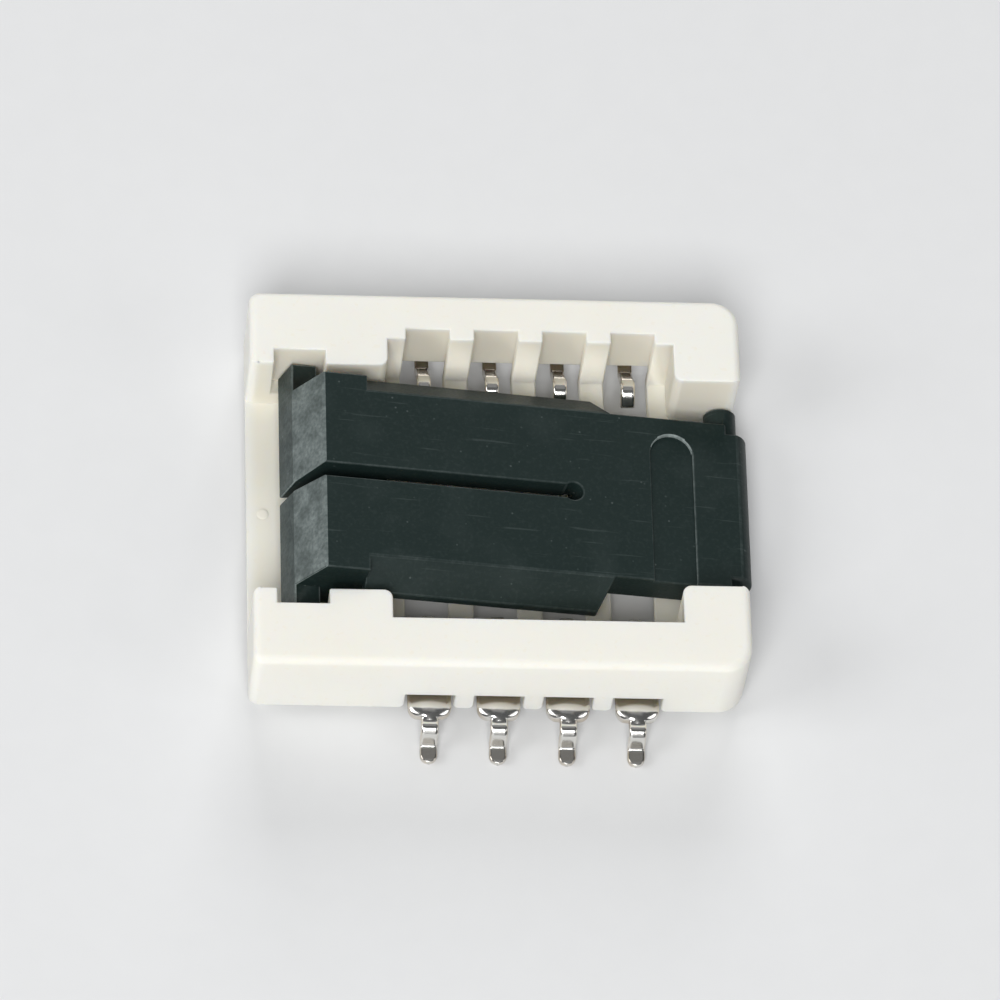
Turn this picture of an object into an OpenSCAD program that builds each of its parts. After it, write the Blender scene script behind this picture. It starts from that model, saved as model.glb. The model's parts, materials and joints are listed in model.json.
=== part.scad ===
// Surface-mount IC socket: a moulded housing, a hinged lid and two rows of formed spring contacts.
// Millimetres. The origin is the centre of the housing's footprint on the board.
// +X points to the hinge end, +Y to the far wall and +Z away from the board.

/* [Contacts] */
// Spacing of neighbouring contacts in a row
pitch = 1.27; // [1.22:0.01:1.3]
// Thickness of the contact sheet
sheet_t = 0.15; // [0.1:0.01:0.18]
// Width of the spring beam
beam_w = 0.26; // [0.2:0.01:0.45]
// Width of the shoulder that shows in the lead notch
shoulder_w = 0.8; // [0.6:0.01:0.88]
// Corner radius of the shoulder's outer end
shoulder_r = 0.22; // [0.1:0.01:0.28]
// Reach of the shoulder past the wall's outer face
shoulder_reach = 0.34; // [0.24:0.01:0.4]
// Height of the shoulder's mid-plane over the housing's underside
shoulder_rise = 0.24; // [0.2:0.01:0.28]
// Length of the barbs that hold the contact in its notch
barb_l = 0.2; // [0.1:0.01:0.3]
// Gap between a barb and the side of the lead notch
barb_gap = 0.01; // [0.005:0.005:0.03]
// Width of the solder tail
tail_w = 0.32; // [0.2:0.01:0.45]
// Reach of the solder tail past the wall's outer face
tail_reach = 1.02; // [0.98:0.01:1.4]
// Length of the flat foot at the end of the tail
foot_l = 0.27; // [0.2:0.01:0.36]
// Slope of the tail between the shoulder and the foot
tail_angle = 78; // [65:1:82]
// Bend radius of the sheet at its mid-plane
bend_r = 0.13; // [0.1:0.01:0.16]
// Slope of the spring beam
beam_angle = 45; // [35:1:50]
// Rise of the beam's crest over the shoulder
crest_rise = 0.42; // [0.3:0.01:0.46]
// Radius of the beam's crest at its mid-plane
crest_r = 0.2; // [0.15:0.01:0.25]
// Length of the straight tip past the crest
tip_l = 0.2; // [0.08:0.01:0.24]

/* [Housing] */
// Height of the walls over the housing's underside
wall_h = 1.75; // [1.45:0.05:2]
// Height of the housing's underside over the board
standoff = 0.28; // [0.15:0.01:0.35]
// Radius of the standoff pads
pad_r = 0.4; // [0.25:0.01:0.5]
// Thickness of the floor and of the sill at the latch end
floor_t = 0.2; // [0.12:0.01:0.24]
// Length of the IC bay between the tabs and the hinge legs
bay_l = 5.31; // [5.2:0.01:6]
// Width of the IC bay between the comb ribs
bay_w = 5.8; // [5.6:0.02:6.6]
// Depth of the comb grooves behind the ribs
groove_depth = 0.22; // [0.1:0.01:0.3]
// Width of a comb groove
groove_w = 0.81; // [0.6:0.01:0.9]
// Height of the lip that closes the near wall's grooves at the top
near_lip_h = 0.4; // [0.2:0.01:0.6]
// Thickness of the long walls behind the grooves
wall_t = 0.74; // [0.6:0.01:1]
// Reach of the contact slots in the floor, inward from the ribs
slot_reach = 1.5; // [1:0.05:2]
// Width of a lead notch at the foot of a wall
lead_notch_w = 0.9; // [0.84:0.01:1.02]
// Height of a lead notch
lead_notch_h = 0.5; // [0.42:0.01:0.6]
// Radius of the wall's corners at the mouth of a lead notch
lead_notch_r = 0.12; // [0.04:0.01:0.16]
// Length of a hinge leg
leg_l = 1.24; // [1.1:0.01:1.5]
// Reach of a hinge leg into the bay, inward from the ribs
leg_reach = 0.76; // [0.6:0.01:0.9]
// Length of a tab between the bay and an ear notch
tab_l = 1.15; // [0.9:0.01:1.4]
// Reach of a tab into the bay, inward from the ribs
tab_reach = 0.56; // [0.4:0.01:0.65]
// Length of an ear notch
ear_notch_l = 0.95; // [0.8:0.01:1.2]
// Depth of an ear notch behind the face of its tab
ear_notch_depth = 0.3; // [0.2:0.01:0.5]
// Length of a corner post at the latch end
post_l = 0.45; // [0.35:0.01:0.8]
// Corner radius at the latch end
latch_corner_r = 0.2; // [0.15:0.01:0.4]
// Corner radius at the hinge end
hinge_corner_r = 0.5; // [0.2:0.01:0.7]
// Corner radius of the tabs and legs inside the frame
inner_corner_r = 0.16; // [0.04:0.01:0.2]
// Radius of the rolled top edges
top_edge_r = 0.14; // [0.05:0.01:0.18]

/* [Hinge] */
// Distance from the hinge axis to the end face of the legs
hinge_inset = 0.28; // [0.26:0.01:0.4]
// Radius of the lid's rounded hinge end
hinge_core_r = 0.47; // [0.43:0.01:0.5]
// Radius of the hinge ears that carry the trunnions
hinge_ear_r = 0.3; // [0.24:0.01:0.36]
// Setback of the rounded hinge end's sides from the lid's flat top
hinge_end_setback = 0.2; // [0.05:0.01:0.4]
// Radius of a trunnion
trunnion_r = 0.15; // [0.1:0.01:0.17]
// Length of a trunnion
trunnion_l = 0.45; // [0.3:0.01:0.6]
// Radial running clearance of a trunnion in its bore
hinge_clearance = 0.03; // [0.01:0.01:0.05]
// Gap between a hinge ear and its leg
hinge_side_gap = 0.04; // [0.02:0.01:0.1]
// Height of the hinge axis over the housing's underside
hinge_rise = 0.48; // [0.44:0.01:0.58]
// Gap between the turning hinge end and the floor
hinge_floor_gap = 0.1; // [0.05:0.01:0.2]

/* [Lid] */
// Tilt of the closed lid, free end up
lid_tilt = 8.5; // [7:0.25:9]
// Height of the lid's flat top over the hinge axis
lid_top_z = 0.42; // [0.38:0.01:0.44]
// Thickness of the lid's plate
lid_t = 0.7; // [0.6:0.01:0.74]
// Gap between the lid's skirt and each tab
lid_side_gap = 0.13; // [0.06:0.01:0.2]
// Width and height of the bevel along each side of the skirt
skirt_bevel = 0.5; // [0.3:0.01:0.52]
// Length of the skirt
skirt_l = 4.6; // [4.2:0.05:4.7]
// Length of the skirt that lies between the tabs
skirt_lead = 0.4; // [0.2:0.01:0.6]
// Length over which the skirt runs out towards the hinge
skirt_runout = 0.24; // [0.1:0.01:0.4]
// Setback of the nose's sides from the skirt's sides
nose_setback = 0.18; // [0.05:0.01:0.3]
// Height of the sloped face at the free end
nose_slope_h = 0.82; // [0.7:0.01:0.9]
// Run of the sloped face at the free end
nose_slope_run = 0.42; // [0.2:0.01:0.5]
// Height of the steep face below the slope, and of the ears
ear_h = 0.62; // [0.45:0.01:0.7]
// Run of the steep face below the slope
nose_foot_run = 0.13; // [0.04:0.01:0.2]
// Reach of the free end's thick lip under the skirt
nose_lip_reach = 0.2; // [0.05:0.01:0.3]
// Gap between an ear and each end of its notch
ear_end_gap = 0.17; // [0.12:0.01:0.2]
// Gap between an ear's tip and the back of its notch
ear_side_gap = 0.05; // [0.02:0.01:0.1]
// Gap between the closed lid's ears and the ledges that carry them
ear_rest_gap = 0.03; // [0.01:0.01:0.06]
// Width of the slit in the free end
slit_w = 0.27; // [0.15:0.01:0.35]
// Width of the slit where it leaves the free end
slit_tip_w = 0.14; // [0.08:0.01:0.15]
// Radius of the slit's round end
slit_end_r = 0.18; // [0.16:0.01:0.25]
// Distance from the slit's round end to the hinge axis
slit_to_hinge = 2.95; // [2.5:0.05:3.2]
// Width of the finger groove across the lid
finger_groove_w = 0.8; // [0.5:0.01:0.9]
// Depth of the finger groove
finger_groove_depth = 0.07; // [0.03:0.01:0.12]
// Distance from the finger groove's hinge-side edge to the hinge axis
finger_groove_to_hinge = 0.66; // [0.55:0.01:0.8]
// Distance from the finger groove's round end to the far edge of the flat top
finger_groove_end = 0.35; // [0.2:0.01:0.6]
// Depth of the pocket under the lid
pocket_depth = 0.2; // [0.1:0.01:0.25]
// Width of the rim left around the pocket under the lid
pocket_rim = 0.45; // [0.3:0.01:0.7]

/* [Hidden] */
$fn = 64;
// Contacts in each row
row_count = 4;
// Overshoot of a cut past the face that it opens
cut = 0.5;
// Overlap of joined shapes and of adjoining cuts
lap = 0.02;
// Flats on each bend of a contact
bend_flats = 6;
housing_colour = [0.93, 0.92, 0.87];
lid_colour = [0.09, 0.11, 0.11];
contact_colour = [0.8, 0.8, 0.79];

// Housing outline, and stations along X from the latch end
housing_l = post_l + ear_notch_l + tab_l + bay_l + leg_l;
groove_y = bay_w / 2 + groove_depth;
outer_y = groove_y + wall_t;
latch_x = -housing_l / 2;
ear_notch_x = latch_x + post_l;
bay_x = ear_notch_x + ear_notch_l + tab_l;
leg_x = bay_x + bay_l;
end_x = leg_x + leg_l;
row_x = bay_x + bay_l / 2;
tab_y = bay_w / 2 - tab_reach;
leg_y = bay_w / 2 - leg_reach;
ear_notch_y = tab_y + ear_notch_depth;

// Hinge axis
hinge_x = end_x - hinge_inset;
bore_r = trunnion_r + hinge_clearance;
hinge_half_w = leg_y - hinge_side_gap;

// Lid stations, measured from the hinge axis along the closed lid
lid_under_z = lid_top_z - lid_t;
rim_y = tab_y - lid_side_gap;
core_y = rim_y - skirt_bevel;
nose_y = rim_y - nose_setback;
ear_y = ear_notch_y - ear_side_gap;
ear_top_z = lid_top_z - nose_slope_h;
ear_under_z = ear_top_z - ear_h;
ear_l = ear_notch_l - 2 * ear_end_gap;
ear_mid_x = -lid_run(ear_notch_x + ear_notch_l / 2, (ear_top_z + ear_under_z) / 2);
nose_x = ear_mid_x - ear_l / 2;
skirt_x = -lid_run(bay_x - skirt_lead, lid_top_z);
skirt_end_x = skirt_x + skirt_l;
slope_x = nose_x + nose_foot_run + nose_slope_run;
slit_end_x = -slit_to_hinge;
finger_groove_x = -finger_groove_to_hinge - finger_groove_w;

// Ledge under the closed ears, level with the lower edge of an ear's hinge side
ledge_z = hinge_rise - (ear_mid_x + ear_l / 2) * sin(lid_tilt) + ear_under_z * cos(lid_tilt) - ear_rest_gap;

// Contact stations, measured outwards from the middle of the socket
shoulder_out_t = outer_y + shoulder_reach;
tail_t = outer_y + tail_reach;
tail_tip_r = 0.45 * tail_w;
barb_t = groove_y + (wall_t - barb_l) / 2;

// Straight lengths between the bends of a contact, from its foot to its tip
tail_drop = standoff + shoulder_rise - sheet_t / 2;
tail_slope_l = (tail_drop - 2 * bend_r * (1 - cos(tail_angle))) / sin(tail_angle);
tail_run = foot_l + 2 * bend_r * sin(tail_angle) + tail_slope_l * cos(tail_angle);
level_l = tail_t - tail_run - groove_y;
beam_slope_l = (crest_rise - (bend_r + crest_r) * (1 - cos(beam_angle))) / sin(beam_angle);
strip_moves = concat([[foot_l, 0]], bend(bend_r, tail_angle), [[tail_slope_l, 0]], bend(bend_r, -tail_angle),
                     [[level_l, 0]], bend(bend_r, beam_angle), [[beam_slope_l, 0]],
                     bend(crest_r, -2 * beam_angle), [[tip_l, 0]]);

// Distance from the hinge axis to place x, taken along the tilted lid at height z over the axis
function lid_run(x, z) = (hinge_x - x + z * sin(lid_tilt)) / cos(lid_tilt);

// Place of contact i of a row along X
function contact_x(i) = row_x + (i - (row_count - 1) / 2) * pitch;

// Moves along a bend, each with its length and its turn
function bend(r, angle) = [for (i = [1 : bend_flats])
    [2 * r * sin(abs(angle) / bend_flats / 2), angle / bend_flats]];

// Places along a list of moves, each with the heading there
function trace(moves, place, heading, i = 0) = i == len(moves)
    ? [[place, heading]]
    : concat([[place, heading]], trace(moves, place + moves[i][0] * along(heading + moves[i][1] / 2),
                                       heading + moves[i][1], i + 1));

// Unit step inwards at a heading, and the unit step square to it
function along(heading) = [-cos(heading), sin(heading)];
function square_to(heading) = [sin(heading), cos(heading)];

// Rectangle with its two corners at the low y side rounded
module tongue(x0, x1, y0, y1, r) {
    translate([x0, y0 + r])
        square([x1 - x0, y1 - y0 - r]);
    translate([x0 + r, y0])
        square([x1 - x0 - 2 * r, 2 * r]);
    for (x = [x0 + r, x1 - r])
        translate([x, y0 + r])
            circle(r);
}

// Upright face from the middle outwards with its top corner rounded
module half_face(half_l) {
    square([half_l, wall_h - top_edge_r]);
    square([half_l - top_edge_r, wall_h]);
    intersection() {
        square([half_l, wall_h]);
        translate([half_l - top_edge_r, wall_h - top_edge_r])
            circle(top_edge_r);
    }
}

// One end of the housing block towards +X, with round corners and a rolled top edge
module block_end(half_w, corner_r) {
    rotate([90, 0, 0])
        linear_extrude(2 * (half_w - corner_r), center = true)
            half_face(end_x);
    for (side = [0, 1])
        mirror([0, side, 0]) {
            rotate([90, 0, 90])
                linear_extrude(end_x - corner_r)
                    half_face(half_w);
            translate([end_x - corner_r, half_w - corner_r, 0])
                rotate_extrude()
                    half_face(corner_r);
        }
}

// Outer form of the housing before anything is cut from it
module housing_block() {
    block_end(outer_y, hinge_corner_r);
    mirror([1, 0, 0])
        block_end(outer_y, latch_corner_r);
}

// Plan of the far wall with its latch block, comb band and hinge leg
module wall_plan() {
    translate([latch_x, bay_w / 2])
        square([housing_l, groove_depth + wall_t]);
    tongue(latch_x, bay_x, tab_y, outer_y, inner_corner_r);
    tongue(leg_x, end_x, leg_y, outer_y, inner_corner_r);
}

// Corner that rounds off one side of a lead notch's mouth
module mouth_corner() {
    difference() {
        translate([lead_notch_w / 2 - lap, -cut])
            square([lead_notch_r + lap, lead_notch_r + cut]);
        translate([lead_notch_w / 2 + lead_notch_r, lead_notch_r])
            circle(lead_notch_r);
    }
}

// Lead notches along the foot of the far wall, each with a rounded mouth
module lead_notches() {
    for (i = [0 : row_count - 1])
        translate([contact_x(i), outer_y + cut, 0])
            rotate([90, 0, 0])
                linear_extrude(wall_t + cut + lap) {
                    translate([-lead_notch_w / 2, -cut])
                        square([lead_notch_w, lead_notch_h + cut]);
                    mouth_corner();
                    mirror([1, 0])
                        mouth_corner();
                }
}

// One long wall with its ear notch, grooves, lead notches and trunnion bore
module side_wall(lip_h) {
    difference() {
        linear_extrude(wall_h)
            wall_plan();
        translate([ear_notch_x, tab_y - cut, ledge_z])
            cube([ear_notch_l, ear_notch_depth + cut, wall_h]);
        for (i = [0 : row_count - 1])
            translate([contact_x(i) - groove_w / 2, bay_w / 2 - cut, -cut])
                cube([groove_w, groove_depth + cut, wall_h - lip_h + cut + (lip_h > 0 ? 0 : cut)]);
        lead_notches();
        translate([hinge_x, leg_y - cut, hinge_rise])
            rotate([-90, 0, 0])
                cylinder(r = bore_r, h = trunnion_l + cut);
    }
}

// Floor with a slot under each contact, open under the turning hinge end
module floor_plate() {
    floor_end_x = hinge_x - hinge_core_r - hinge_floor_gap;
    difference() {
        translate([latch_x, -outer_y, 0])
            cube([floor_end_x - latch_x, 2 * outer_y, floor_t]);
        for (side = [0, 1])
            mirror([0, side, 0]) {
                for (i = [0 : row_count - 1])
                    translate([contact_x(i) - groove_w / 2, bay_w / 2 - slot_reach, -cut])
                        cube([groove_w, slot_reach + groove_depth, floor_t + 2 * cut]);
                lead_notches();
            }
    }
}

// Standoff pads under the tabs and under the hinge legs
module standoff_pads() {
    for (side = [-1, 1]) {
        translate([bay_x - tab_l / 2, side * (tab_y + outer_y) / 2, -standoff])
            cylinder(r = pad_r, h = standoff + floor_t);
        translate([leg_x + leg_l / 2, side * (leg_y + outer_y) / 2, -standoff])
            cylinder(r = pad_r, h = standoff + floor_t);
    }
}

module housing() {
    color(housing_colour)
        translate([0, 0, standoff]) {
            intersection() {
                housing_block();
                union() {
                    side_wall(0);
                    mirror([0, 1, 0])
                        side_wall(near_lip_h);
                    floor_plate();
                }
            }
            standoff_pads();
        }
}

// Upright bar along Y with the given profile in X and Z
module bar(half_w) {
    rotate([90, 0, 0])
        linear_extrude(2 * half_w, center = true)
            children();
}

// Bevelled skirt that runs out towards the hinge
module skirt() {
    section = [[-core_y, lid_top_z], [-rim_y, lid_top_z - skirt_bevel], [-rim_y, lid_under_z],
               [rim_y, lid_under_z], [rim_y, lid_top_z - skirt_bevel], [core_y, lid_top_z]];
    plan = [[skirt_x - lap, -rim_y], [skirt_end_x - skirt_runout, -rim_y], [skirt_end_x, -core_y],
            [skirt_end_x, core_y], [skirt_end_x - skirt_runout, rim_y], [skirt_x - lap, rim_y]];
    intersection() {
        translate([skirt_x - lap, 0, 0])
            rotate([90, 0, 90])
                linear_extrude(skirt_l + lap)
                    polygon(section);
        translate([0, 0, lid_under_z])
            linear_extrude(lid_t)
                polygon(plan);
    }
}

// Thick free end with its sloped faces and two ears
module nose() {
    foot_x = nose_x + nose_foot_run;
    lip_x = skirt_x + nose_lip_reach;
    bar(nose_y)
        polygon([[nose_x, ear_under_z], [foot_x, ear_top_z], [slope_x, lid_top_z], [skirt_x, lid_top_z],
                 [skirt_x, lid_under_z + lap], [lip_x, lid_under_z + lap], [lip_x, ear_under_z]]);
    bar(ear_y)
        polygon([[nose_x, ear_under_z], [foot_x, ear_top_z], [nose_x + ear_l, ear_top_z],
                 [nose_x + ear_l, ear_under_z]]);
}

// Rounded hinge end with its ears and trunnions
module hinge_end() {
    bar(core_y - hinge_end_setback)
        intersection() {
            circle(hinge_core_r);
            translate([-hinge_core_r, -hinge_core_r])
                square([2 * hinge_core_r, hinge_core_r + lid_top_z]);
        }
    bar(hinge_half_w)
        circle(hinge_ear_r);
    rotate([90, 0, 0])
        cylinder(r = trunnion_r, h = 2 * (hinge_half_w + trunnion_l), center = true);
}

// Slit that narrows down the sloped face, with a round end in the lid's plate
module slit_plan() {
    polygon([[nose_x, -slit_tip_w / 2], [slope_x, -slit_w / 2], [slit_end_x, -slit_w / 2],
             [slit_end_x, slit_w / 2], [slope_x, slit_w / 2], [nose_x, slit_tip_w / 2]]);
    translate([nose_x - cut, -slit_tip_w / 2])
        square([cut + lap, slit_tip_w]);
    translate([slit_end_x, 0])
        circle(slit_end_r);
}

// Lid with its hinge axis on the Y axis and its free end towards -X
module lid_form() {
    difference() {
        union() {
            translate([skirt_x - lap, -core_y, lid_under_z])
                cube([lap - skirt_x, 2 * core_y, lid_t]);
            skirt();
            nose();
            hinge_end();
        }
        translate([0, 0, ear_under_z - cut])
            linear_extrude(lid_top_z - ear_under_z + 2 * cut)
                slit_plan();
        translate([0, 0, lid_top_z - finger_groove_depth])
            linear_extrude(cut) {
                groove_end_y = core_y - finger_groove_end - finger_groove_w / 2;
                translate([finger_groove_x, -core_y - cut])
                    square([finger_groove_w, core_y + cut + groove_end_y]);
                translate([finger_groove_x + finger_groove_w / 2, groove_end_y])
                    circle(finger_groove_w / 2);
            }
        translate([skirt_x + pocket_rim, -core_y + pocket_rim, lid_under_z - cut])
            cube([skirt_l - skirt_runout - 2 * pocket_rim, 2 * (core_y - pocket_rim), pocket_depth + cut]);
    }
}

module lid() {
    color(lid_colour)
        translate([hinge_x, 0, standoff + hinge_rise])
            rotate([0, lid_tilt, 0])
                lid_form();
}

// Side view of the bent strip, outwards along X
module strip_side() {
    spine = trace(strip_moves, [tail_t, sheet_t / 2], 0);
    upper = [for (p = spine) p[0] + sheet_t / 2 * square_to(p[1])];
    lower = [for (p = spine) p[0] - sheet_t / 2 * square_to(p[1])];
    polygon(concat(upper, [for (i = [len(lower) - 1 : -1 : 0]) lower[i]]));
}

// Plan of the strip, outwards along Y
module strip_plan() {
    barb_half_w = lead_notch_w / 2 - barb_gap;
    translate([-beam_w / 2, 0])
        square([beam_w, barb_t + barb_l]);
    mirror([0, 1])
        tongue(-shoulder_w / 2, shoulder_w / 2, -shoulder_out_t, -barb_t, shoulder_r);
    translate([-barb_half_w, barb_t])
        square([2 * barb_half_w, barb_l]);
    mirror([0, 1])
        tongue(-tail_w / 2, tail_w / 2, -tail_t, -barb_t, tail_tip_r);
}

// One formed contact of the far row, centred on X
module contact_form() {
    intersection() {
        rotate([90, 0, 90])
            linear_extrude(2 * lead_notch_w, center = true)
                strip_side();
        linear_extrude(standoff + wall_h)
            strip_plan();
    }
}

// Contacts 1 to 4 lie along the near wall from the latch end, 5 to 8 back along the far wall
module contact(number) {
    near = number <= row_count;
    place = near ? number - 1 : 2 * row_count - number;
    color(contact_colour)
        translate([contact_x(place), 0, 0])
            mirror([0, near ? 1 : 0, 0])
                contact_form();
}

housing();
lid();
for (number = [1 : 2 * row_count])
    contact(number);
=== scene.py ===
"""Dresses a hinged-lid IC socket: ivory housing, black clamping lid and plated spring contacts."""

import itertools
import json
import math

import bmesh
import bpy
from bpy.props import FloatProperty, FloatVectorProperty, PointerProperty
from mathutils import Matrix, Vector

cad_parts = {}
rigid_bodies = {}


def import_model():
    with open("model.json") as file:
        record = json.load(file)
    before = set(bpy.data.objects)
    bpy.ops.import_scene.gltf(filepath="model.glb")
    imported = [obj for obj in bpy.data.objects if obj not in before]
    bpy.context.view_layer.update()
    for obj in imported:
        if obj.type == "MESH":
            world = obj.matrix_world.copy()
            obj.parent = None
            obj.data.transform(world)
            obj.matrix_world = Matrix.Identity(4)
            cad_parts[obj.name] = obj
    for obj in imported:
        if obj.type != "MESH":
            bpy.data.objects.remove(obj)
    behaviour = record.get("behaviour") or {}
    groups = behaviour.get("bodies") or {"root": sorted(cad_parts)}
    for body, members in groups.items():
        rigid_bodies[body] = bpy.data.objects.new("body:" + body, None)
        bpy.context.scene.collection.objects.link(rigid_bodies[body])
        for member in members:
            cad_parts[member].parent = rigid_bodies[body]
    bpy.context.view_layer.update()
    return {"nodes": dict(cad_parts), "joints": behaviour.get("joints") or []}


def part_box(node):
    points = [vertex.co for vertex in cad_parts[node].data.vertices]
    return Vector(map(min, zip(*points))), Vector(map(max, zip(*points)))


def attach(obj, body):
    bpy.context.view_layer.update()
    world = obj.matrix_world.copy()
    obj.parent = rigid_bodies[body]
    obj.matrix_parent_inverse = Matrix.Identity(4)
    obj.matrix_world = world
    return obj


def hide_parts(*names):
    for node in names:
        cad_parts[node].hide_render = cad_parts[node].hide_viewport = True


bl_info = {
    "name": "IC Socket Finishes",
    "version": (1, 0, 0),
    "blender": (4, 5, 0),
    "location": "View3D > Sidebar > IC Socket",
    "description": "Soft edges, moulded plastics, plated contacts and a studio for a hinged-lid IC socket",
    "category": "Object",
}

# The startup scene is cleared before the frame comes in
for startup_object in list(bpy.data.objects):
    bpy.data.objects.remove(startup_object)
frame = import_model()

MM = 0.001

# Boxes of the CAD pieces, and a point on the hinge's axis
HOUSING_LOW, HOUSING_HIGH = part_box("housing")
LID_LOW, LID_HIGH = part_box("lid")
HINGE = Vector(frame["joints"][0]["pos_m"])

# The near row of contacts from the latch end, its pitch, and how far out its wall and its tails' tips are
CONTACT_NODES = sorted(name for name in frame["nodes"] if name.startswith("contact_"))
NEAR_NODES = sorted((n for n in CONTACT_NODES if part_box(n)[0].y < 0), key=lambda n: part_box(n)[0].x)
FIRST_LOW, FIRST_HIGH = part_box(NEAR_NODES[0])
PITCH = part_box(NEAR_NODES[1])[0].x - FIRST_LOW.x
WALL_OUT = -HOUSING_LOW.y
TIP_OUT = -FIRST_LOW.y

# Points within WELD are one point, faces within FLAT are one face and edges over SHARP are sharp.
# Where a strip leaves a corner as a wedge under NARROW, the edges there stay square.
WELD = 0.0002 * MM
FLAT = math.radians(1)
SHARP = math.radians(30)
NARROW = math.radians(4)

# Steps of a rounded edge, and the share of a short edge that the rounding of an edge ending on it may take
EDGE_STEPS = 3
END_ROOM = 0.8

# Edges closer to the hinge's axis than this belong to its pins and bores and stay square
HINGE_FIT_R = 0.2 * MM

# How far a face of the lid turns to the free end to be its nose, and to the front to be the groove's arc
NOSE_FACING, ARC_FACING = 0.5, 0.2

# How far a face of the nose turns up to be its steep foot, and its slope
FOOT_RISE, SLOPE_RISE = 0.3, 0.45

# Radii and heights of the broken-off gate in units of its radius, from inside the sill to its crown
GATE_PROFILE = ((0, -0.5), (1, -0.5), (1, 0.03), (0.94, 0.08), (0.5, 0.1), (0, 0.1))

# Steps round a turned piece
TURNED_STEPS = 48

# Steps along a contact's stretches, round each of its bends, across its width and round each stamped edge
FOOT_STEPS, TAIL_STEPS, SHOULDER_STEPS, BEAM_STEPS, TIP_STEPS = 20, 6, 56, 6, 5
BEND_STEPS = 14
WIDTH_STEPS = 12
STAMPED_STEPS = 3

# A contact's least half width, and the shares of a half width that a stamped edge and the toe round off
LEAST_HALF_W = 0.02 * MM
STAMPED_SHARE = 0.8
TOE_SHARE = 0.9

# Half the floor's width in metres, how much lighter its grain is, and the colour of the even light
FLOOR_HALF = 2.0
FLOOR_GRAIN = 1.03
SKY = (0.96, 0.98, 1.0, 1)

# Soft boxes aimed at the socket: a name, a place and a width in metres, and a power in watts
LAMPS = (
    ("main", (-0.048, -0.226, 0.276), 0.16, 0.9),
    ("front", (-0.089, -0.331, 0.111), 0.26, 0.17),
    ("left", (-0.266, -0.047, 0.189), 0.16, 0.31),
    ("right", (0.26, -0.1, 0.16), 0.12, 0.08),
    ("back", (0.02, 0.29, 0.155), 0.16, 0.46),
    ("over", (0.01, 0.085, 0.32), 0.2, 0.02),
)


# Sizes and finishes


class HousingSettings(bpy.types.PropertyGroup):
    """Sizes and colour of the ivory housing."""

    edge_r: FloatProperty(
        name="Edge Radius", description="Rounding of the moulded edges",
        default=0.035 * MM, min=0, unit="LENGTH", precision=6)
    colour: FloatVectorProperty(
        name="Colour", description="Ivory of the moulded housing",
        default=(0.85, 0.843, 0.79), min=0, max=1, subtype="COLOR")
    # The deeper ivory of the flow clouds and flecks, also laid on the inner walls as painted shade
    deep_ivory_and_shade: FloatVectorProperty(
        name="Warm Colour", description="Deeper ivory of the inner walls and the flow clouds",
        default=(0.83, 0.79, 0.675), min=0, max=1, subtype="COLOR")
    translucency: FloatProperty(
        name="Translucency", description="Share of the light that goes a little way into the plastic",
        default=0.35, min=0, max=1, subtype="FACTOR")
    sill_z: FloatProperty(
        name="Sill Height", description="Height of the sill over the board",
        default=0.48 * MM, min=0, unit="LENGTH", precision=6)
    gate_inset: FloatProperty(
        name="Gate Inset", description="Distance from the sill's outer edge to the middle of the gate mark",
        default=0.3 * MM, min=0, unit="LENGTH", precision=6)
    gate_r: FloatProperty(
        name="Gate Radius", description="Radius of the gate mark on the sill",
        default=0.11 * MM, min=0, unit="LENGTH", precision=6)


class LidSettings(bpy.types.PropertyGroup):
    """Sizes and colour of the black lid."""

    edge_r: FloatProperty(
        name="Edge Radius", description="Rounding of the moulded edges",
        default=0.03 * MM, min=0, unit="LENGTH", precision=6)
    colour: FloatVectorProperty(
        name="Colour", description="Blue-black of the moulded lid",
        default=(0.011, 0.0215, 0.02), min=0, max=1, subtype="COLOR")
    # The pale colour of the specks, scratches and rubbing, and of the painted sheen and highlights on the
    # lid
    dust_and_sheen: FloatVectorProperty(
        name="Dust Colour", description="Pale specks and rubbed places on the lid",
        default=(0.38, 0.44, 0.43), min=0, max=1, subtype="COLOR")
    slope_l: FloatProperty(
        name="Slope Length", description="Length of the free end, up to the top of its slope",
        default=1.1 * MM, min=0, unit="LENGTH", precision=6)
    grip_l: FloatProperty(
        name="Grip Length", description="Length of the hinge end that holds the finger groove",
        default=2.3 * MM, min=0, unit="LENGTH", precision=6)
    groove_y: FloatProperty(
        name="Groove End", description="Distance past the lid's middle where the groove's arc begins",
        default=0.5 * MM, min=0, unit="LENGTH", precision=6)
    # Paleness of the sloped end: mostly a painted sheen where it faces the light, with some rubbing
    slope_sheen_and_rub: FloatProperty(
        name="Slope Wear", description="How far the sloped end is rubbed pale",
        default=0.46, min=0, max=1, subtype="FACTOR")
    # The steep face below the slope gets a weaker painted sheen, so it reads darker than the slope
    foot_sheen_and_rub: FloatProperty(
        name="Foot Wear", description="How far the steep face below the slope is rubbed pale",
        default=0.17, min=0, max=1, subtype="FACTOR")
    # Paleness of the other edges: a painted edge highlight, with some rubbing
    edge_sheen_and_rub: FloatProperty(
        name="Edge Wear", description="How far the edges that a finger seldom meets are rubbed pale",
        default=0.07, min=0, max=1, subtype="FACTOR")


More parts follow.
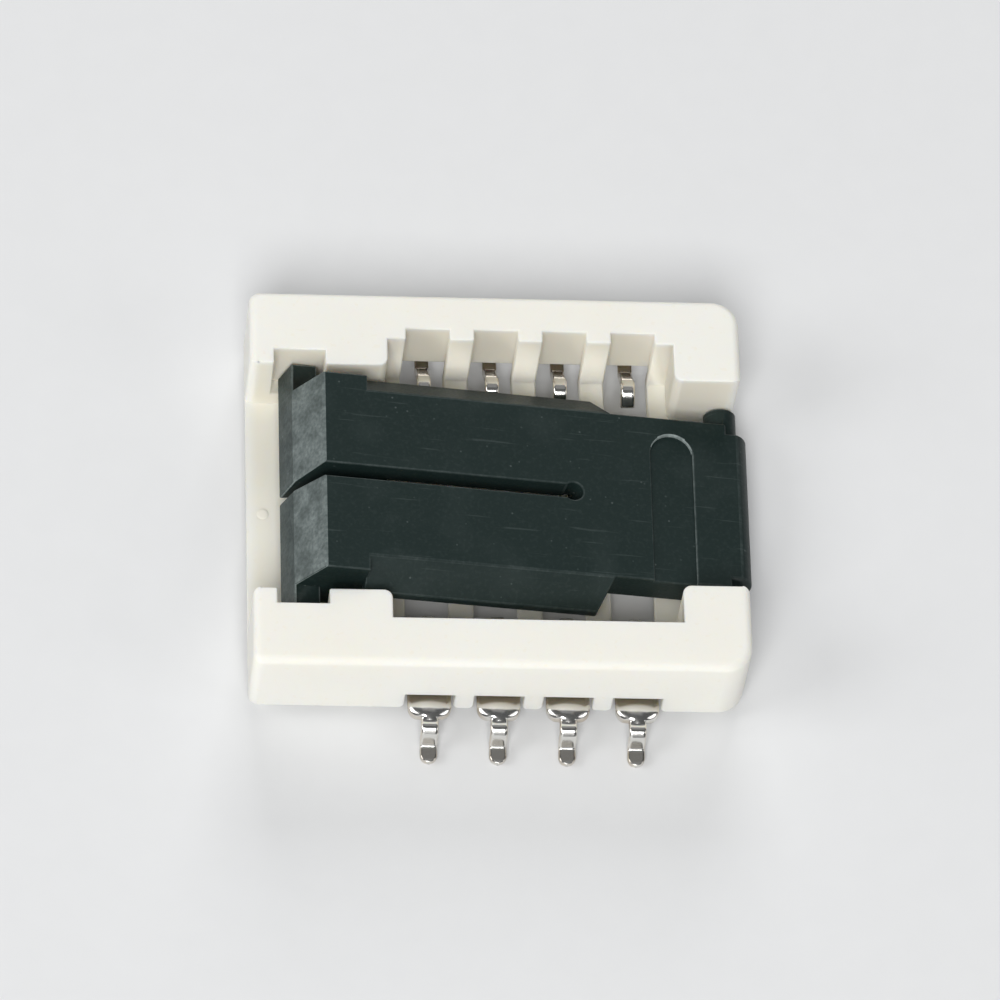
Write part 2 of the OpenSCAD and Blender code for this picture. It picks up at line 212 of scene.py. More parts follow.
class ContactSettings(bpy.types.PropertyGroup):
    """Sizes and colours of the plated contacts."""

    sheet_t: FloatProperty(
        name="Sheet Thickness", description="Thickness of the contact sheet",
        default=0.15 * MM, min=0, unit="LENGTH", precision=6)
    beam_w: FloatProperty(
        name="Beam Width", description="Width of the spring beam",
        default=0.26 * MM, min=0, unit="LENGTH", precision=6)
    shoulder_w: FloatProperty(
        name="Shoulder Width", description="Width of the shoulder in the lead notch",
        default=0.8 * MM, min=0, unit="LENGTH", precision=6)
    shoulder_r: FloatProperty(
        name="Shoulder Corner", description="Corner radius of the shoulder's outer end",
        default=0.22 * MM, min=0, unit="LENGTH", precision=6)
    shoulder_reach: FloatProperty(
        name="Shoulder Reach", description="Reach of the shoulder past the housing's wall",
        default=0.34 * MM, min=0, unit="LENGTH", precision=6)
    shoulder_inset: FloatProperty(
        name="Shoulder Inset", description="From the wall's inner face to the shoulder's inner end",
        default=0.27 * MM, min=0, unit="LENGTH", precision=6)
    shoulder_flare: FloatProperty(
        name="Shoulder Flare", description="Length over which the beam widens to the shoulder",
        default=0.06 * MM, min=0, unit="LENGTH", precision=6)
    crown_h: FloatProperty(
        name="Crown Height", description="Height of the shoulder's pressed crown",
        default=0.09 * MM, min=0, unit="LENGTH", precision=6)
    crown_l: FloatProperty(
        name="Crown Length", description="Length of the shoulder's pressed crown",
        default=0.66 * MM, min=0, unit="LENGTH", precision=6)
    crown_out: FloatProperty(
        name="Crown Place", description="Distance from the housing's wall out to the middle of the crown",
        default=0.1 * MM, unit="LENGTH", precision=6)
    wing_curl: FloatProperty(
        name="Wing Curl", description="Drop of the shoulder's outer corners beside the tail",
        default=0.07 * MM, min=0, unit="LENGTH", precision=6)
    curl_l: FloatProperty(
        name="Curl Length", description="Length over which the shoulder's outer corners drop",
        default=0.26 * MM, min=0, unit="LENGTH", precision=6)
    tail_w: FloatProperty(
        name="Tail Width", description="Width of the solder tail",
        default=0.32 * MM, min=0, unit="LENGTH", precision=6)
    foot_l: FloatProperty(
        name="Foot Length", description="Length of the flat foot at the end of the tail",
        default=0.27 * MM, min=0, unit="LENGTH", precision=6)
    foot_angle: FloatProperty(
        name="Foot Angle", description="Slight rise of the foot from its toe to its heel",
        default=math.radians(7), min=0, subtype="ANGLE")
    tail_angle: FloatProperty(
        name="Tail Angle", description="Slope of the tail between the shoulder and the foot",
        default=math.radians(78), min=0, subtype="ANGLE")
    bend_r: FloatProperty(
        name="Bend Radius", description="Bend radius at the middle of the sheet",
        default=0.13 * MM, min=0, unit="LENGTH", precision=6)
    beam_angle: FloatProperty(
        name="Beam Angle", description="Slope of the spring beam",
        default=math.radians(45), min=0, subtype="ANGLE")
    crest_rise: FloatProperty(
        name="Crest Rise", description="Rise of the beam's crest over the shoulder",
        default=0.42 * MM, min=0, unit="LENGTH", precision=6)
    crest_r: FloatProperty(
        name="Crest Radius", description="Radius of the crest at the middle of the sheet",
        default=0.2 * MM, min=0, unit="LENGTH", precision=6)
    tip_l: FloatProperty(
        name="Tip Length", description="Straight tip past the crest",
        default=0.2 * MM, min=0, unit="LENGTH", precision=6)
    wall_t: FloatProperty(
        name="Wall Thickness", description="Thickness of the housing's wall over the shoulder",
        default=0.74 * MM, min=0, unit="LENGTH", precision=6)
    edge_r: FloatProperty(
        name="Edge Radius", description="Rounding of the stamped edges",
        default=0.042 * MM, min=0, unit="LENGTH", precision=6)
    colour: FloatVectorProperty(
        name="Plating", description="Bright plating of the contacts",
        default=(0.80, 0.79, 0.76), min=0, max=1, subtype="COLOR")
    # A duller brown laid on inside the wall and on the foot
    brown_tone: FloatVectorProperty(
        name="Film", description="Dull film on the plating inside the wall and on the foot",
        default=(0.36, 0.315, 0.25), min=0, max=1, subtype="COLOR")
    core: FloatVectorProperty(
        name="Core", description="Bare metal at the stamped edges",
        default=(0.55, 0.43, 0.30), min=0, max=1, subtype="COLOR")


class StageSettings(bpy.types.PropertyGroup):
    """View of the socket and the floor that it stands on."""

    azimuth: FloatProperty(
        name="Azimuth", description="Turn of the camera round the socket",
        default=math.radians(-10.51), subtype="ANGLE")
    elevation: FloatProperty(
        name="Elevation", description="Height of the camera over the horizon",
        default=math.radians(60.96), subtype="ANGLE")
    roll: FloatProperty(
        name="Roll", description="Roll of the camera about its own axis",
        default=math.radians(10.34), subtype="ANGLE")
    distance: FloatProperty(
        name="Distance", description="Distance from the camera to the socket",
        default=151.3 * MM, min=0, unit="LENGTH")
    offset: FloatVectorProperty(
        name="Offset", description="Place of the socket's origin across and up the camera's view",
        size=2, default=(-0.189 * MM, -0.571 * MM), unit="LENGTH", precision=6)
    frame_w: FloatProperty(
        name="Frame Width", description="Width of the view at the socket",
        default=18.538 * MM, min=0, unit="LENGTH")
    floor: FloatVectorProperty(
        name="Floor", description="Colour of the floor",
        default=(0.74, 0.745, 0.75), min=0, max=1, subtype="COLOR")
    world: FloatProperty(
        name="World Light", description="Level of the even light from all round",
        default=0.1, min=0)


class SocketSettings(bpy.types.PropertyGroup):
    """Everything about the dressed socket that can be set."""

    housing: PointerProperty(type=HousingSettings)
    lid: PointerProperty(type=LidSettings)
    contact: PointerProperty(type=ContactSettings)
    stage: PointerProperty(type=StageSettings)


# Shader maths


class Wire:
    """A socket in a material's tree. Arithmetic on it adds Math nodes."""

    def __init__(self, tree, socket=None):
        self.tree = tree
        self.socket = socket

    def node(self, kind, settings=None, sockets=None, out=0):
        """Adds a node, sets it up, feeds its sockets and returns one of its outputs."""
        made = self.tree.nodes.new(kind)
        for key, value in (settings or {}).items():
            if key == "stops":
                self.set_stops(made.color_ramp, value)
            else:
                setattr(made, key, value)
        for key, value in (sockets or {}).items():
            if isinstance(value, Wire):
                self.tree.links.new(value.socket, made.inputs[key])
            else:
                made.inputs[key].default_value = value
        return Wire(self.tree, made.outputs[out])

    @staticmethod
    def set_stops(ramp, stops):
        """Sets a ramp's stops, each a place and a grey level."""
        while len(ramp.elements) < len(stops):
            ramp.elements.new(0.5)
        for element, (place, level) in zip(ramp.elements, stops):
            element.position = place
            element.color = (level, level, level, 1)

    def math(self, operation, first, second):
        """One Math node on two values."""
        return self.node("ShaderNodeMath", {"operation": operation}, {0: first, 1: second})

    def __add__(self, other):
        return self.math("ADD", self, other)

    __radd__ = __add__

    def __sub__(self, other):
        return self.math("SUBTRACT", self, other)

    def __rsub__(self, other):
        return self.math("SUBTRACT", other, self)

    def __mul__(self, other):
        return self.math("MULTIPLY", self, other)

    __rmul__ = __mul__

    def __abs__(self):
        return self.math("ABSOLUTE", self, 0.0)

    def axis(self, place, name):
        """One coordinate of a place."""
        return self.node("ShaderNodeSeparateXYZ", {}, {"Vector": place}, name)

    def noise(self, place, scale, detail=2.0):
        """Soft noise from 0 to 1 with a number of features to the metre."""
        sockets = {"Vector": place, "Scale": scale, "Detail": detail}
        return self.node("ShaderNodeTexNoise", {}, sockets, "Fac")

    def bump(self, height, strength, distance):
        """A normal bumped by a height."""
        sockets = {"Strength": strength, "Distance": distance, "Height": height}
        return self.node("ShaderNodeBump", {}, sockets)

    def attribute(self, name):
        """An attribute of the mesh."""
        return self.node("ShaderNodeAttribute", {"attribute_name": name}, {}, "Fac")

    def ramp(self, value, *stops):
        """A value put through a ramp of grey levels."""
        return self.node("ShaderNodeValToRGB", {"stops": stops}, {"Fac": value}, "Color")

    def blend(self, factor, first, second):
        """Two colours mixed by a factor."""
        return self.node("ShaderNodeMix", {"data_type": "RGBA"}, {0: factor, 6: first, 7: second}, 2)


def rgba(colour):
    """A colour property as four numbers."""
    return (*colour, 1.0)


def new_material(name, constants):
    """A material with a Principled shader set to the given constants, its first wire and its shader."""
    material = bpy.data.materials.new(name)
    material.use_nodes = True
    tree = material.node_tree
    shader = next(n for n in tree.nodes if n.type == "BSDF_PRINCIPLED")
    for key, value in constants.items():
        shader.inputs[key].default_value = value
    return material, Wire(tree), shader


def feed(wire, shader, **values):
    """Links wires to a shader's sockets, named with underscores."""
    for key, value in values.items():
        wire.tree.links.new(value.socket, shader.inputs[key.replace("_", " ")])


def ivory_moulding(settings, name, translucency):
    """Ivory plastic, painted deeper on the inner walls as painted shade, with faint flow clouds and a
    spark-eroded grain.
    """
    material, wire, shader = new_material(
        name, {"Subsurface Weight": translucency, "Subsurface Scale": 0.4 * MM,
               "Subsurface Radius": (1.0, 0.8, 0.5), "Specular IOR Level": 0.2})
    place = wire.node("ShaderNodeTexCoord", out="Object")
    along = wire.axis(place, "X") * (1 / HOUSING_HIGH.x)
    across = wire.axis(place, "Y") * (1 / HOUSING_HIGH.y)
    height = wire.axis(place, "Z") * (1 / HOUSING_HIGH.z)
    # The inner walls below the rim get the deeper ivory as painted shade
    between_ends = wire.ramp(abs(along), (0.95, 1.0), (0.985, 0.0))
    between_walls = wire.ramp(abs(across), (0.81, 1.0), (0.84, 0.0))
    below_rim = wire.ramp(height, (0.2, 0.45), (0.35, 0.85), (0.93, 0.85), (0.98, 0.0))
    inner = between_ends * between_walls * below_rim
    clouds = wire.noise(place, 420, 3)
    grain = wire.noise(place, 24000, 3)
    pits = wire.noise(place, 9000, 1)
    # Painted shade on the inner walls, plus random flow clouds
    shade_and_clouds = inner + wire.ramp(clouds, (0.35, 0.0), (0.8, 0.3))
    tone = wire.blend(shade_and_clouds, rgba(settings.colour), rgba(settings.deep_ivory_and_shade))
    fleck = wire.ramp(pits, (0.66, 0.0), (0.74, 0.35))
    feed(wire, shader,
         Base_Color=wire.blend(fleck, tone, rgba(settings.deep_ivory_and_shade)),
         Roughness=0.44 + 0.16 * grain,
         Normal=wire.bump(grain + 0.6 * pits, 0.35, 0.004 * MM))
    return material


def black_moulding(settings):
    """Satin black plastic, painted pale at its edges as painted sheen and rubbing, with fine scratches and
    dusty specks.
    """
    material, wire, shader = new_material("black_moulding", {"Specular IOR Level": 0.2})
    place = wire.node("ShaderNodeTexCoord", out="Object")
    rubbed = wire.attribute("rubbed")
    clouds = wire.noise(place, 900, 4)
    chips = wire.noise(place, 14000, 3)
    grain = wire.noise(place, 20000, 3)
    specks = wire.node("ShaderNodeTexVoronoi", {}, {"Vector": place, "Scale": 5200}, "Distance")
    dusty = wire.ramp(wire.noise(place, 2600, 1), (0.5, 0.0), (0.6, 1.0))
    dust_and_sheen = dusty * wire.ramp(specks, (0.06, 0.13), (0.13, 0.0))
    slanted = wire.node("ShaderNodeMapping", {}, {
        "Vector": place, "Rotation": (0, 0, math.radians(38)), "Scale": (800.0, 17000.0, 800.0)})
    strokes = wire.ramp(wire.noise(slanted, 1.0, 2), (0.66, 0.0), (0.74, 0.05))
    patches = wire.ramp(wire.noise(place, 2600, 2), (0.38, 0.55), (0.6, 1.0))
    # Painted sheen and highlights where faces catch the light, broken up as rubbing
    sheen_and_rub_mask = rubbed * patches * wire.ramp(chips, (0.3, 0.55), (0.65, 1.0))
    haze = wire.ramp(clouds, (0.5, 0.0), (0.85, 0.03)) + wire.ramp(chips, (0.5, 0.0), (0.75, 0.018))
    feed(wire, shader,
         Base_Color=wire.blend(sheen_and_rub_mask + dust_and_sheen + strokes + haze, rgba(settings.colour), rgba(settings.dust_and_sheen)),
         Roughness=0.36 + 0.2 * grain + 0.1 * rubbed,
         Normal=wire.bump(grain + rubbed * chips, 0.5, 0.005 * MM))
    return material


def plated_metal(settings):
    """Bright plating with rolling lines, a duller brown tone in the wall and on the foot, and bare edges.
    """
    material, wire, shader = new_material("plated_metal", {"Metallic": 1.0})
    place = wire.node("ShaderNodeTexCoord", out="Object")
    stretched = wire.node("ShaderNodeMapping", {}, {"Vector": place, "Scale": (18000.0, 1200.0, 18000.0)})
    lines = wire.noise(stretched, 1.0, 2)
    clouds = wire.noise(place, 3000, 3)
    edge = wire.attribute("stamped_edge")
    bare = edge * wire.ramp(clouds, (0.35, 0.0), (0.7, 0.7))
    # Duller and browner inside the wall and on the foot
    out = abs(wire.axis(place, "Y"))
    depth = (out - WALL_OUT + settings.wall_t) * (1 / settings.wall_t)
    brown_tone = wire.ramp(0.25 + 0.5 * depth, (0.1, 0.0), (0.22, 0.75), (0.78, 0.75), (0.88, 0.0))
    toe = (out - TIP_OUT + settings.foot_l) * (1 / settings.foot_l)
    foot_tone = wire.ramp(toe, (0.0, 0.0), (0.15, 0.45), (0.75, 0.45), (1.0, 0.0))
    plating = wire.blend(brown_tone + foot_tone, rgba(settings.colour), rgba(settings.brown_tone))
    feed(wire, shader,
         Base_Color=wire.blend(bare, plating, rgba(settings.core)),
         Roughness=0.1 + 0.1 * clouds + 0.08 * edge,
         Normal=wire.bump(lines + 2.0 * clouds, 0.12, 0.002 * MM))
    return material


def floor_paint(settings):
    """Matt pale floor with a barely visible grain."""
    material, wire, shader = new_material("floor_paint", {"Roughness": 0.8, "Specular IOR Level": 0.2})
    place = wire.node("ShaderNodeTexCoord", out="Object")
    grain = wire.noise(place, 1500, 3)
    lighter = tuple(min(1.0, FLOOR_GRAIN * c) for c in settings.floor)
    feed(wire, shader, Base_Color=wire.blend(grain, rgba(settings.floor), rgba(lighter)))
    return material


# Meshes


def finished_mesh(form, name):
    """A smooth-shaded mesh of a form, which is freed."""
    mesh = bpy.data.meshes.new(name)
    form.to_mesh(mesh)
    form.free()
    mesh.shade_smooth()
    return mesh


def new_piece(name, mesh, material=None):
    """A new object at the origin with the given mesh."""
    piece = bpy.data.objects.new(name, mesh)
    bpy.context.scene.collection.objects.link(piece)
    if material:
        mesh.materials.clear()
        mesh.materials.append(material)
    return piece


def baked(piece):
    """Replaces a piece's mesh by its evaluated mesh and drops its modifiers."""
    graph = bpy.context.evaluated_depsgraph_get()
    mesh = bpy.data.meshes.new_from_object(piece.evaluated_get(graph), depsgraph=graph)
    piece.modifiers.clear()
    piece.data = mesh
    mesh.name = piece.name
    return piece


def crowded(corner, sharp):
    """Whether two smooth edges leave a corner so close that a bevel would fold the strip between them."""
    ways = [edge.other_vert(corner).co - corner.co for edge in corner.link_edges if edge not in sharp]
    return any(a.angle(b) < NARROW for a, b in itertools.combinations(ways, 2))


def weigh_edges(form, edge_r):
    """Bevel weights: full on outer edges, less where one ends at a short edge, none without room."""
    weight = form.edges.layers.float.new("bevel_weight_edge")
    sharp = {e for e in form.edges if e.calc_face_angle() > SHARP}
    for edge in sharp:
        in_hinge = all((v.co - HINGE).xz.length < HINGE_FIT_R for v in edge.verts)
        if in_hinge or not edge.is_convex or any(crowded(v, sharp) for v in edge.verts):
            edge.smooth = False
            continue
        room = edge_r
        for end in edge.verts:
            others = [e for e in end.link_edges if e is not edge]
            if not any(e.is_convex for e in sharp.intersection(others)):
                room = min(room, *(END_ROOM * e.calc_length() for e in others))
        edge[weight] = room / edge_r


def soft_copy(node, name, edge_r, material):
    """A joined copy of a CAD node with its sharp edges rounded, and its rounded faces marked for painted
    sheen and rubbing.
    """
    form = bmesh.new()
    form.from_mesh(frame["nodes"][node].data)
    bmesh.ops.remove_doubles(form, verts=form.verts, dist=WELD)
    bmesh.ops.dissolve_limit(form, angle_limit=FLAT, verts=form.verts, edges=form.edges)
    weigh_edges(form, edge_r)
    piece = new_piece(name, finished_mesh(form, name), material)
    # The rounded faces get the second slot, which tells them from the rest
    piece.data.materials.append(material)
    bevel = piece.modifiers.new("rounded_edges", "BEVEL")
    bevel.width = edge_r
    bevel.segments = EDGE_STEPS
    bevel.limit_method = "WEIGHT"
    bevel.use_clamp_overlap = False
    bevel.miter_outer = "MITER_ARC"
    bevel.material = 1
    normals = piece.modifiers.new("flat_faces", "WEIGHTED_NORMAL")
    normals.keep_sharp = True
    baked(piece)
    # The mark for painted sheen and rubbing: one on the rounded faces
    rubbed = piece.data.attributes.new("rubbed", "FLOAT", "FACE")
    for face in piece.data.polygons:
        rubbed.data[face.index].value = face.material_index
        face.material_index = 0
    piece.data.materials.pop()
    return piece


def lid_sheen_and_rub(size, face, on_edge):
    """How far a face of the lid is painted pale as painted sheen, highlight and rubbing, by its place, its
    facing and whether it rounds an edge.
    """
    # The sloped end gets a painted sheen where it faces up to the light, the steep foot less
    if face.center.x < LID_LOW.x + size.slope_l:
        if -face.normal.x < NOSE_FACING or face.normal.z < FOOT_RISE:
            return on_edge * size.slope_sheen_and_rub
        return size.slope_sheen_and_rub if face.normal.z > SLOPE_RISE else size.foot_sheen_and_rub
    if face.center.x < LID_HIGH.x - size.grip_l:
        return on_edge * size.edge_sheen_and_rub
    # Faces of the groove's arc that face the front get a full painted highlight
    if face.center.y > size.groove_y and -face.normal.y > ARC_FACING:
        return 1.0
    # Edges at the hinge end that face the free end get a painted highlight, like the groove's right side
    return on_edge * max(size.edge_sheen_and_rub, -face.normal.x * size.slope_sheen_and_rub)


def bridge(form, rings):
    """Joins each ring of corners to the next by faces. A ring of one corner closes an end."""
    for first, second in zip(rings, rings[1:]):
        count = max(len(first), len(second))
        for k in range(count):
            n = (k + 1) % count
            sides = ((first, k), (first, n), (second, n), (second, k))
            corners = [ring[place % len(ring)] for ring, place in sides]
            form.faces.new(list(dict.fromkeys(corners)))


def turned(name, profile, centre, material):
    """A solid turned about an upright axis from a profile of radii and heights, both ends on the axis."""
    form = bmesh.new()
    rings = []
    for radius, height in profile:
        steps = TURNED_STEPS if radius else 1
        ring = []
        for k in range(steps):
            angle = 2 * math.pi * k / steps
            x, y = centre[0] + radius * math.cos(angle), centre[1] + radius * math.sin(angle)
            ring.append(form.verts.new((x, y, centre[2] + height)))
        rings.append(ring)
    bridge(form, rings)
    bmesh.ops.recalc_face_normals(form, faces=form.faces)
    return new_piece(name, finished_mesh(form, name), material)


# Contacts


def straight(length, steps):
    """Moves along a straight stretch."""
    return [(length / steps, 0.0)] * steps


def bend(radius, angle):
    """Moves round a bend."""
    turn = angle / BEND_STEPS
    return [(2 * radius * math.sin(abs(angle) / BEND_STEPS / 2), turn)] * BEND_STEPS


def strip_path(size):
    """Stations of a contact's mid-line from the foot's tip inwards: distance out, height and heading."""
    shoulder_z = FIRST_HIGH.z - size.crest_rise - size.sheet_t / 2
    toe_z = size.sheet_t / 2 * math.cos(size.foot_angle)
    sin_f, cos_f = math.sin(size.foot_angle), math.cos(size.foot_angle)
    sin_t, cos_t = math.sin(size.tail_angle), math.cos(size.tail_angle)
    slope_l = (shoulder_z - toe_z - size.foot_l * sin_f - size.bend_r * (1 + cos_f - 2 * cos_t)) / sin_t
    tail_run = size.foot_l * cos_f + size.bend_r * (2 * sin_t - sin_f) + slope_l * cos_t
    shoulder_l = TIP_OUT - tail_run - (WALL_OUT - size.wall_t)
    beam_bends = size.bend_r + size.crest_r
    beam_l = (size.crest_rise - beam_bends * (1 - math.cos(size.beam_angle))) / math.sin(size.beam_angle)
    moves = [
        *straight(size.foot_l, FOOT_STEPS), *bend(size.bend_r, size.tail_angle - size.foot_angle),
        *straight(slope_l, TAIL_STEPS), *bend(size.bend_r, -size.tail_angle),
        *straight(shoulder_l, SHOULDER_STEPS), *bend(size.bend_r, size.beam_angle),
        *straight(beam_l, BEAM_STEPS), *bend(size.crest_r, -2 * size.beam_angle),
        *straight(size.tip_l, TIP_STEPS),
    ]
    stations = [(TIP_OUT, toe_z, size.foot_angle)]
    for length, turn in moves:
        out, height, heading = stations[-1]
        middle = heading + turn / 2
        run, rise = length * math.cos(middle), length * math.sin(middle)
        stations.append((out - run, height + rise, heading + turn))
    return stations


def strip_half_w(size, out):
    """Half the strip's width at a distance out from the middle of the socket."""
    shoulder_in = WALL_OUT - size.wall_t + size.shoulder_inset
    shoulder_out = WALL_OUT + size.shoulder_reach
    beam, shoulder, tail = size.beam_w / 2, size.shoulder_w / 2, size.tail_w / 2
    if out < shoulder_in:
        return beam
    if out < shoulder_out:
        step = min(1.0, (out - shoulder_in) / size.shoulder_flare)
        full = beam + (shoulder - beam) * step
        return full - round_off(out, shoulder_out, size.shoulder_r) * (shoulder - tail) / size.shoulder_r
    return tail - round_off(out, TIP_OUT, TOE_SHARE * tail)


def shoulder_form(size, out):
    """Height of the shoulder's crown and drop of its outer corners at a distance out."""
    from_crown = (out - WALL_OUT - size.crown_out) / (size.crown_l / 2)
    to_end = max(0.0, 1 - max(0.0, WALL_OUT + size.shoulder_reach - out) / size.curl_l)
    return size.crown_h * max(0.0, 1 - from_crown ** 2), size.wing_curl * to_end ** 2


def round_off(out, end, radius):
    """How far a rounded end has drawn in at a distance out."""
    past = max(0.0, out - (end - radius))
    return radius - math.sqrt(max(0.0, radius ** 2 - min(past, radius) ** 2))


def strip_section(size, half_w, crown):
    """Outline of the strip across its width: offsets across and up, and how far each is on an edge."""
    half_t = size.sheet_t / 2
    corner = min(size.edge_r, STAMPED_SHARE * half_w)
    points = []
    for side, up in ((1, 1), (-1, 1), (-1, -1), (1, -1)):
        for k in range(STAMPED_STEPS + 1):
            turn = math.radians(90 * k / STAMPED_STEPS)
            across, rise = math.cos(turn), math.sin(turn)
            if side * up < 0:
                across, rise = rise, across
            x = side * (half_w - corner + corner * across)
            z = up * (half_t - corner + corner * rise)
            points.append((x, z, across))
        if side * up > 0:
            start = points[-1][0]
            for k in range(1, WIDTH_STEPS):
                points.append((start - 2 * start * k / WIDTH_STEPS, up * half_t, 0.0))
    return [(x, z + crown * (1 - (x / half_w) ** 2), edge) for x, z, edge in points]


def contact_blank(size, material):
    """One near-row contact, centred on X: a bent strip of sheet with rounded edges."""
    tail, shoulder = size.tail_w / 2, size.shoulder_w / 2
    form = bmesh.new()
    edge_layer = form.verts.layers.float.new("stamped_edge")
    rings = []
    for out, height, heading in strip_path(size):
        half_w = max(strip_half_w(size, out), LEAST_HALF_W)
        level = abs(heading) < FLAT and height > size.sheet_t
        crown, curl = shoulder_form(size, out) if level else (0.0, 0.0)
        ring = []
        for x, rise, edge in strip_section(size, half_w, crown):
            rise -= curl * max(0.0, (abs(x) - tail) / (shoulder - tail))
            y, z = -out - rise * math.sin(heading), height + rise * math.cos(heading)
            corner = form.verts.new((x, y, z))
            corner[edge_layer] = edge
            ring.append(corner)
        rings.append(ring)
    bridge(form, rings)
    form.faces.new(rings[0])
    form.faces.new(list(reversed(rings[-1])))
    bmesh.ops.recalc_face_normals(form, faces=form.faces)
    return new_piece("contact_blank", finished_mesh(form, "contact_blank"), material)


def row_tree(material):
    """Geometry nodes that set a contact out in two facing rows."""
    tree = bpy.data.node_groups.new("contact_rows", "GeometryNodeTree")
    for name, kind in (("Contact", "Object"), ("Pitch", "Float"), ("Count", "Int"), ("First X", "Float")):
        tree.interface.new_socket(name, in_out="INPUT", socket_type="NodeSocket" + kind)
    tree.interface.new_socket("Geometry", in_out="OUTPUT", socket_type="NodeSocketGeometry")
    nodes, link = tree.nodes, tree.links.new
    inputs = nodes.new("NodeGroupInput")
    output = nodes.new("NodeGroupOutput")
    contact = nodes.new("GeometryNodeObjectInfo")
    step = nodes.new("ShaderNodeCombineXYZ")
    start = nodes.new("ShaderNodeCombineXYZ")
    line = nodes.new("GeometryNodeMeshLine")
    join = nodes.new("GeometryNodeJoinGeometry")
    realise = nodes.new("GeometryNodeRealizeInstances")
    finish = nodes.new("GeometryNodeSetMaterial")
    finish.inputs["Material"].default_value = material
    link(inputs.outputs["Contact"], contact.inputs["Object"])
    link(inputs.outputs["Pitch"], step.inputs["X"])
    link(inputs.outputs["First X"], start.inputs["X"])
    link(inputs.outputs["Count"], line.inputs["Count"])
    link(start.outputs[0], line.inputs["Start Location"])
    link(step.outputs[0], line.inputs["Offset"])
    for turn in (0.0, math.pi):
        row = nodes.new("GeometryNodeInstanceOnPoints")
        row.inputs["Rotation"].default_value = (0, 0, turn)
        link(line.outputs["Mesh"], row.inputs["Points"])
        link(contact.outputs["Geometry"], row.inputs["Instance"])
        link(row.outputs["Instances"], join.inputs["Geometry"])
    link(join.outputs["Geometry"], realise.inputs["Geometry"])
    link(realise.outputs["Geometry"], finish.inputs["Geometry"])
    link(finish.outputs["Geometry"], output.inputs["Geometry"])
    return tree


def set_inputs(modifier, tree, values):
    """Sets a modifier's inputs by the identifiers of the tree's named sockets."""
    for item in tree.interface.items_tree:
        if item.in_out == "INPUT" and item.name in values:
            modifier[item.identifier] = values[item.name]


# Stage


def set_floor(view):
    """A wide pale floor under the socket."""
    form = bmesh.new()
    bmesh.ops.create_grid(form, x_segments=2, y_segments=2, size=FLOOR_HALF)
    new_piece("floor", finished_mesh(form, "floor"), floor_paint(view))


def set_world(view):
    """Even, slightly cool light from all round."""
    world = bpy.data.worlds.new("studio")
    world.use_nodes = True
    background = next(n for n in world.node_tree.nodes if n.type == "BACKGROUND")
    background.inputs["Color"].default_value = SKY
    background.inputs["Strength"].default_value = view.world
    bpy.context.scene.world = world


def set_lamps():
    """Square soft boxes aimed at the socket."""
    for name, place, width, power in LAMPS:
        light = bpy.data.lights.new(name, "AREA")
        light.shape = "SQUARE"
        light.size = width
        light.energy = power
        lamp = bpy.data.objects.new(name, light)
        lamp.location = place
        lamp.rotation_euler = (-Vector(place)).to_track_quat("-Z", "Y").to_euler()
        bpy.context.scene.collection.objects.link(lamp)


def set_camera(view):
    """A long lens from the front, rolled a little, without depth of field."""
    sin_a, cos_a = math.sin(view.azimuth), math.cos(view.azimuth)
    sin_e, cos_e = math.sin(view.elevation), math.cos(view.elevation)
    ahead = Vector((-sin_a * cos_e, cos_a * cos_e, -sin_e))
    level = Vector((cos_a, sin_a, 0))
    over = level.cross(ahead)
    right = math.cos(view.roll) * level + math.sin(view.roll) * over
    up = math.cos(view.roll) * over - math.sin(view.roll) * level
    place = -(view.offset[0] * right + view.offset[1] * up + view.distance * ahead)
    lens = bpy.data.cameras.new("camera")
    lens.sensor_width = 36
    lens.lens = lens.sensor_width * view.distance / view.frame_w
    lens.clip_start = 0.01
    lens.clip_end = 20
    camera = bpy.data.objects.new("camera", lens)
    turn = Matrix((right, up, -ahead)).transposed()
    camera.matrix_world = Matrix.Translation(place) @ turn.to_4x4()
    bpy.context.scene.collection.objects.link(camera)
    bpy.context.scene.camera = camera


# Operators and panel


class ICSOCKET_OT_housing(bpy.types.Operator):
    """Rounds the housing's edges and gives it the ivory plastic"""

    bl_idname = "icsocket.housing"
    bl_label = "Housing"

    def execute(self, context):
        size = context.scene.ic_socket.housing
        ivory = ivory_moulding(size, "ivory_moulding", size.translucency)
        shell = soft_copy("housing", "housing_moulding", size.edge_r, ivory)
        centre = (HOUSING_LOW.x + size.gate_inset, 0, size.sill_z)
        gate = turned("gate_mark", [(r * size.gate_r, h * size.gate_r) for r, h in GATE_PROFILE], centre,
                      ivory_moulding(size, "gate_stub", 0.0))
        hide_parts("housing")
        for piece in (shell, gate):
            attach(piece, "base")
        return {"FINISHED"}


class ICSOCKET_OT_lid(bpy.types.Operator):
    """Rounds the lid's edges and gives it the black plastic"""

    bl_idname = "icsocket.lid"
    bl_label = "Lid"

    def execute(self, context):
        size = context.scene.ic_socket.lid
        lid = soft_copy("lid", "lid_moulding", size.edge_r, black_moulding(size))
        rubbed = lid.data.attributes["rubbed"]
        # Turns the mark into painted sheen, highlight and rubbing by place and facing
        for face in lid.data.polygons:
            face_sheen_and_rub = rubbed.data[face.index]
            face_sheen_and_rub.value = lid_sheen_and_rub(size, face, face_sheen_and_rub.value)
        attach(lid, "lid")
        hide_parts("lid")
        return {"FINISHED"}


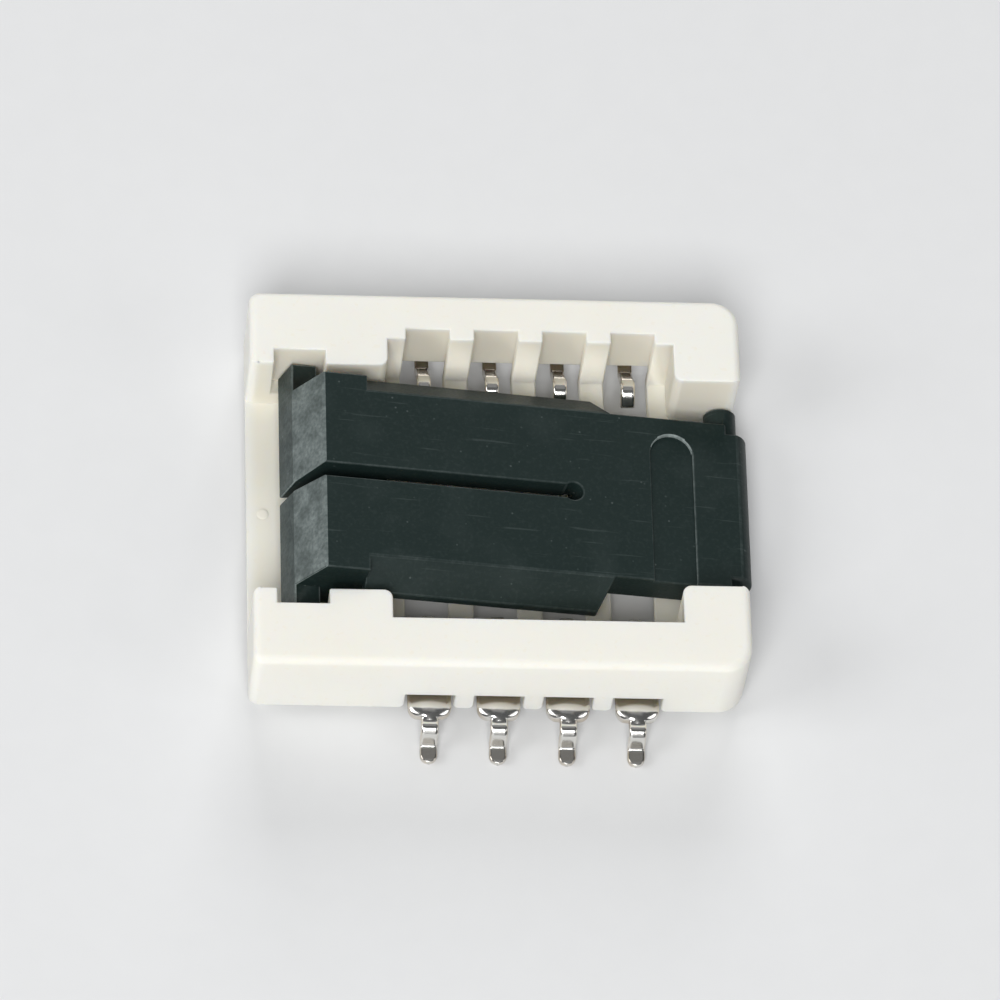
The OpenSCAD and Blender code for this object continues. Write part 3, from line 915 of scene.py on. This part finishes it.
class ICSOCKET_OT_contacts(bpy.types.Operator):
    """Forms the plated contacts and sets them out in two facing rows"""

    bl_idname = "icsocket.contacts"
    bl_label = "Contacts"

    def execute(self, context):
        size = context.scene.ic_socket.contact
        plating = plated_metal(size)
        blank = contact_blank(size, plating)
        rows = new_piece("contact_strips", bpy.data.meshes.new("contact_strips"))
        tree = row_tree(plating)
        modifier = rows.modifiers.new("rows", "NODES")
        modifier.node_group = tree
        set_inputs(modifier, tree, {
            "Contact": blank,
            "Pitch": PITCH,
            "Count": len(NEAR_NODES),
            "First X": (FIRST_LOW.x + FIRST_HIGH.x) / 2,
        })
        baked(rows)
        bpy.data.objects.remove(blank)
        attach(rows, "base")
        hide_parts(*CONTACT_NODES)
        return {"FINISHED"}


class ICSOCKET_OT_stage(bpy.types.Operator):
    """Sets the floor, the lights and the camera"""

    bl_idname = "icsocket.stage"
    bl_label = "Stage"

    def execute(self, context):
        view = context.scene.ic_socket.stage
        set_floor(view)
        set_world(view)
        set_lamps()
        set_camera(view)
        context.scene.view_settings.view_transform = "Standard"
        return {"FINISHED"}


class ICSOCKET_PT_panel(bpy.types.Panel):
    """Sidebar panel with the socket's pieces and settings"""

    bl_idname = "ICSOCKET_PT_panel"
    bl_label = "IC Socket"
    bl_space_type = "VIEW_3D"
    bl_region_type = "UI"
    bl_category = "IC Socket"

    def draw(self, context):
        groups = context.scene.ic_socket
        for operator, group in zip(OPERATORS, (groups.housing, groups.lid, groups.contact, groups.stage)):
            box = self.layout.box()
            box.operator(operator.bl_idname)
            for key in group.bl_rna.properties.keys():
                if key not in {"rna_type", "name"}:
                    box.prop(group, key)


OPERATORS = (ICSOCKET_OT_housing, ICSOCKET_OT_lid, ICSOCKET_OT_contacts, ICSOCKET_OT_stage)
CLASSES = (
    HousingSettings, LidSettings, ContactSettings, StageSettings, SocketSettings,
    *OPERATORS, ICSOCKET_PT_panel,
)


def register():
    """Registers the classes and puts the settings on the scene."""
    for cls in CLASSES:
        bpy.utils.register_class(cls)
    bpy.types.Scene.ic_socket = PointerProperty(type=SocketSettings)


def unregister():
    """Takes the settings off the scene and unregisters the classes."""
    del bpy.types.Scene.ic_socket
    for cls in reversed(CLASSES):
        bpy.utils.unregister_class(cls)


def main():
    """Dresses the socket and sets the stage."""
    register()
    bpy.ops.icsocket.housing()
    bpy.ops.icsocket.lid()
    bpy.ops.icsocket.contacts()
    bpy.ops.icsocket.stage()


if __name__ == "__main__":
    main()
